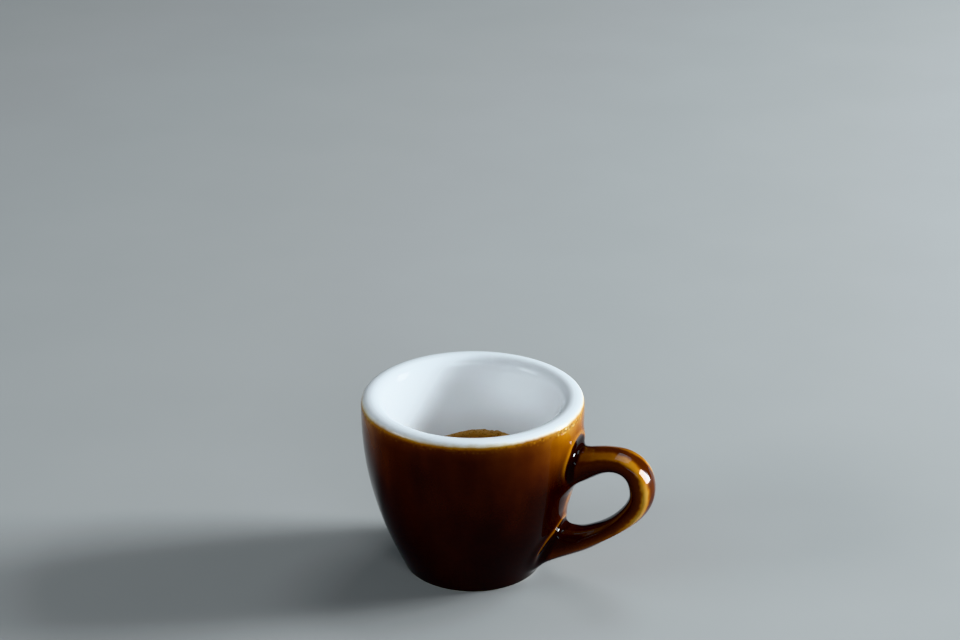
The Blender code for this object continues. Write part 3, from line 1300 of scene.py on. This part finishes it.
@dataclass
class Shot:
    """The shot of espresso: a body that fills the cup's inside, and crema that clings to the wall.

    Args:
        bowl: The bowl that it lies in.
        level: Height of the coffee's surface, in millimetres.
    """

    bowl: Bowl
    level: float
    overlap: float = 0.15
    segments: int = 360
    body_rings: int = 8
    body_spread: float = 1.6
    top_rings: int = 44
    top_spread: float = 2.2
    settled: float = 1.0
    meniscus: float = 0.15
    meniscus_width: float = 1.1
    foam: float = 1.20
    foam_width: float = 1.0
    foam_patches: Sequence[tuple[float, float, float]] = (
        (97.0, 40.0, 1.0), (-95.0, 55.0, 0.6), (178.0, 18.0, 0.35)
    )
    foam_fade: float = 0.75
    foam_raggedness: float = 0.20
    unevenness: float = 0.10
    wave_size: float = 5.0
    wave_layer: float = 1.7
    ragged_size: float = 0.9
    ragged_layer: float = 4.2
    ragged_octaves: tuple[float, float, int] = (0.8, 2.0, 3)
    ragged_share: float = 0.35
    edge_fade: float = 2.0
    bubble_count: int = 170
    bubble_sizes: Pair = (0.10, 0.36)
    bubble_rarity: float = 2.5
    bubble_sink: float = 0.4
    bubble_squash: float = 0.8
    wall_share: float = 0.8
    near_wall: Pair = (0.3, 1.8)
    further_in: Pair = (1.8, 12.0)
    further_stretch: float = 1.2
    seed: int = 11

    @property
    def edge_radius(self) -> float:
        """Radius of the surface's edge, just inside the wall."""
        return self.bowl.inner_radius(self.level) + self.overlap

    def build(self) -> Object:
        """Models, marks and dresses the coffee.

        Returns:
            The finished piece.
        """
        shot = raise_rings(
            "espresso_shot",
            self.bowl.axis,
            self.profile(),
            (self.bowl.inside_bottom - self.overlap, self.level),
            self.segments,
        )
        self.shape_top(shot.data)
        make_active(shot)
        bpy.ops.object.shade_smooth()
        shot.data.materials.append(Crema().make())
        return shot

    def profile(self) -> list[Pair]:
        """Rings up the wall of the inside and then in over the surface.

        Returns:
            The rings in order, closest together near the surface's edge.
        """
        bottom = self.bowl.inside_bottom
        rings = []
        for n in range(1, self.body_rings + 1):
            share = (n / self.body_rings) ** self.body_spread
            height = bottom + (self.level - bottom) * share
            rings.append((self.bowl.inner_radius(height) + self.overlap, height))
        for n in range(1, self.top_rings):
            share = (n / self.top_rings) ** self.top_spread
            rings.append((self.edge_radius * (1.0 - share), self.level))
        return rings

    def rise(self, reach: float, turn: float) -> float:
        """How far the surface stands above its level at a place.

        Args:
            reach: Distance from the axis, in millimetres.
            turn: Direction from the axis, in radians.

        Returns:
            The rise, in millimetres.
        """
        from_wall = max(self.edge_radius - reach, 0.0)
        x, y = reach * math.cos(turn), reach * math.sin(turn)
        slow = noise.noise(Vector((x / self.wave_size, y / self.wave_size, self.wave_layer)))
        grain = Vector((x / self.ragged_size, y / self.ragged_size, self.ragged_layer))
        ragged = noise.fractal(grain, *self.ragged_octaves)
        climb = self.meniscus * math.exp(-from_wall / self.meniscus_width)
        clinging = self.foam * self.clinging(turn) * (1.0 + self.foam_raggedness * ragged)
        foam = clinging * math.exp(-((from_wall / self.foam_width) ** 2))
        surface = self.unevenness * (slow + self.ragged_share * ragged)
        return climb + foam + surface - self.settled

    def clinging(self, turn: float) -> float:
        """How strongly the foam clings to the wall in a direction, from 0 to 1.

        Args:
            turn: The direction from the axis, in radians.

        Returns:
            The share of the foam's full height.
        """
        most = 0.0
        for middle, half_width, share in self.foam_patches:
            away = turn_between(math.degrees(turn), middle)
            fade = min(max((half_width - away) / (self.foam_fade * half_width), 0.0), 1.0)
            most = max(most, share * fade * fade * (3.0 - 2.0 * fade))
        return most

    def shape_top(self, mesh: Mesh) -> None:
        """Raises the surface's points to the crema's relief and stores where its edge is.

        Args:
            mesh: The coffee's mesh.
        """
        axis = self.bowl.axis
        points = read_points(mesh)
        reach, _ = polar(points, axis)
        edge = np.zeros(len(points))
        for i in np.flatnonzero(points[:, 2] > self.level * MM - TOUCH):
            turn = math.atan2(points[i, 1], points[i, 0] - axis)
            height = self.level + self.rise(reach[i], turn)
            spread = (self.bowl.inner_radius(height) + self.overlap) / self.edge_radius
            points[i, 0] = axis + (points[i, 0] - axis) * spread
            points[i, 1] *= spread
            points[i, 2] = height * MM
            edge[i] = math.exp(-max(self.edge_radius - reach[i], 0.0) / self.edge_fade)
        mesh.vertices.foreach_set("co", points.ravel())
        mesh.update()
        write_mark(mesh, Mark.EDGE, edge)

    def build_bubbles(self) -> Object:
        """Models the crema's larger bubbles as one piece, most of them in the foam at the wall.

        Returns:
            The finished piece.
        """
        deselect_everything()
        bpy.ops.mesh.primitive_ico_sphere_add(subdivisions=2, radius=1.0)
        bubble = bpy.context.object
        bubble.name = "crema_bubbles"
        with editing(bubble, Element.VERTEX):
            select_where(bubble, Element.VERTEX, lambda v: v.co.z < 0.0)
            bpy.ops.transform.resize(value=(1.0, 1.0, self.bubble_sink), center_override=(0.0, 0.0, 0.0))
        draw = random.Random(self.seed)
        copies = []
        for _ in range(self.bubble_count):
            copy = bubble.copy()
            copy.data = bubble.data.copy()
            bpy.context.scene.collection.objects.link(copy)
            self.place_bubble(copy, draw)
            copies.append(copy)
        self.place_bubble(bubble, draw)
        apply_place(bubble)
        for copy in copies:
            copy.select_set(True)
        bpy.ops.object.join()
        bpy.ops.object.shade_smooth()
        bubble.data.materials.append(BubbleFilm().make())
        return bubble

    def place_bubble(self, bubble: Object, draw: random.Random) -> None:
        """Gives one bubble its size and its place on the crema.

        Args:
            bubble: The bubble.
            draw: The source of its random numbers.
        """
        turn = draw.uniform(-math.pi, math.pi)
        small, large = self.bubble_sizes
        size = small + (large - small) * draw.random() ** self.bubble_rarity
        at_wall = draw.random() < self.wall_share
        from_wall = draw.uniform(*(self.near_wall if at_wall else self.further_in))
        stretch = 1.0 if at_wall else self.further_stretch
        reach = self.edge_radius - self.overlap - size - from_wall * stretch
        height = self.level + self.rise(reach, turn)
        bubble.location = (
            self.bowl.axis + reach * math.cos(turn) * MM,
            reach * math.sin(turn) * MM,
            height * MM,
        )
        bubble.scale = (size * MM, size * MM, size * self.bubble_squash * MM)


@dataclass(frozen=True)
class Lamp:
    """A soft area light that faces the cup.

    Args:
        name: The light's name.
        turn: Its direction in degrees, from the camera's right towards the back.
        climb: Its height in degrees above the horizon.
        distance: How far from the cup it stands, in metres.
        size: Its width and height, in metres.
        power: Its power, in watts.
    """

    name: str
    turn: float
    climb: float
    distance: float
    size: Pair
    power: float


@dataclass
class Studio:
    """The plain pale floor, the soft lights and the camera.

    Args:
        axis: Where the cup's axis stands on X, in metres.
        rim_height: Height of the cup's rim, in metres.
    """

    axis: float
    rim_height: float
    lens: float = 85.0
    sensor: float = 36.0
    frame_size: tuple[int, int] = (960, 640)
    azimuth: float = math.radians(21.5)
    elevation: float = math.radians(23.34)
    distance: float = 0.6579
    rim_pixel: tuple[float, float] = (472.7, 394.6)
    floor_size: float = 12.0
    floor_colour: Colour = (0.42, 0.42, 0.415, 1.0)
    floor_lift: float = 1.03
    floor_grain: Mottle = Mottle(60.0, 3.0, 0.2, 0.8)
    floor_roughness: float = 0.9
    light_colour: tuple[float, float, float] = (0.88, 0.96, 1.0)
    world_colour: Colour = (0.80, 0.90, 1.0, 1.0)
    world_strength: float = 0.07
    lamps: Sequence[Lamp] = (
        Lamp("window", turn=10.0, climb=14.0, distance=1.6, size=(0.44, 0.95), power=67.0),
        Lamp("front", turn=-80.0, climb=25.0, distance=1.3, size=(0.9, 0.4), power=5.0),
        Lamp("left", turn=-165.0, climb=22.0, distance=1.6, size=(0.7, 0.5), power=7.5),
        Lamp("back", turn=60.0, climb=58.0, distance=1.4, size=(0.6, 0.6), power=3.8),
    )

    def right(self) -> Vector:
        """The camera's right, level."""
        return Vector((math.cos(self.azimuth), math.sin(self.azimuth), 0.0))

    def away(self) -> Vector:
        """Level, away from the camera."""
        return Vector((-math.sin(self.azimuth), math.cos(self.azimuth), 0.0))

    def build(self) -> None:
        """Adds the floor, the lights, the sky's even light and the camera."""
        self.add_floor()
        self.add_camera()
        self.add_world()
        bpy.context.scene.view_settings.view_transform = "Khronos PBR Neutral"
        for lamp in self.lamps:
            self.add_light(lamp)

    def add_floor(self) -> None:
        """Adds the floor, which isn't part of the object."""
        deselect_everything()
        bpy.ops.mesh.primitive_plane_add(size=self.floor_size)
        floor = bpy.context.object
        floor.name = "studio_floor"
        material, painter, shader = new_finish("studio_floor")
        grain = self.floor_grain.paint(painter)
        lighter = tuple(min(1.0, part * self.floor_lift) for part in self.floor_colour)
        painter.feed(shader.inputs["Base Color"], painter.blend(grain, self.floor_colour, lighter))
        shader.inputs["Roughness"].default_value = self.floor_roughness
        floor.data.materials.append(material)

    def add_camera(self) -> None:
        """Adds the camera at the photograph's viewing angle, with the rim's middle on its pixel."""
        a, e = self.azimuth, self.elevation
        look = -Vector((math.sin(a) * math.cos(e), -math.cos(a) * math.cos(e), math.sin(e)))
        right = self.right()
        up = right.cross(look)
        pixels = self.lens / self.sensor * self.frame_size[0]
        offset = right * ((self.rim_pixel[0] - self.frame_size[0] / 2) / pixels)
        offset += up * ((self.frame_size[1] / 2 - self.rim_pixel[1]) / pixels)
        data = bpy.data.cameras.new("camera")
        data.lens = self.lens
        data.sensor_width = self.sensor
        camera = bpy.data.objects.new("camera", data)
        camera.location = Vector((self.axis, 0.0, self.rim_height)) - (look + offset) * self.distance
        camera.rotation_euler = look.to_track_quat("-Z", "Y").to_euler()
        bpy.context.scene.collection.objects.link(camera)
        bpy.context.scene.camera = camera

    def add_world(self) -> None:
        """Gives the scene a weak, even light from all round."""
        world = bpy.data.worlds.new("studio")
        world.use_nodes = True
        background = world.node_tree.nodes["Background"]
        background.inputs["Color"].default_value = self.world_colour
        background.inputs["Strength"].default_value = self.world_strength
        bpy.context.scene.world = world

    def add_light(self, lamp: Lamp) -> None:
        """Adds one soft area light.

        Args:
            lamp: The light.
        """
        turn, climb = math.radians(lamp.turn), math.radians(lamp.climb)
        level = self.right() * math.cos(turn) + self.away() * math.sin(turn)
        towards = level * math.cos(climb) + Vector((0.0, 0.0, math.sin(climb)))
        data = bpy.data.lights.new(lamp.name, "AREA")
        data.shape = "RECTANGLE"
        data.size, data.size_y = lamp.size
        data.energy = lamp.power
        data.color = self.light_colour
        light = bpy.data.objects.new(lamp.name, data)
        light.location = Vector((self.axis, 0.0, self.rim_height / 2)) + towards * lamp.distance
        light.rotation_euler = (-towards).to_track_quat("-Z", "Y").to_euler()
        bpy.context.scene.collection.objects.link(light)


def attach(piece: Object, node: Node | None = None) -> None:
    """Fixes a finished piece to the part's one body and reports it.

    Args:
        piece: The piece.
        node: The CAD node that it stands for, if it stands for one.
    """
    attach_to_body(piece, "root")
    if node is not None:
        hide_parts(node.value)
    log.info("%s: %d points, %d faces", piece.name, len(piece.data.vertices), len(piece.data.polygons))


def main() -> None:
    """Builds the cup, the shot and the studio."""
    logging.basicConfig(level=logging.INFO, format="%(name)s %(message)s")
    low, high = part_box(Node.ESPRESSO.value)
    axis = (low.x + high.x) / 2.0
    bowl = Bowl(axis)
    attach(Cup(bowl, Handle(axis)).build(), Node.CUP)
    shot = Shot(bowl, high.z / MM)
    attach(shot.build(), Node.ESPRESSO)
    attach(shot.build_bubbles())
    Studio(axis, bowl.height * MM).build()


if __name__ == "__main__":
    main()
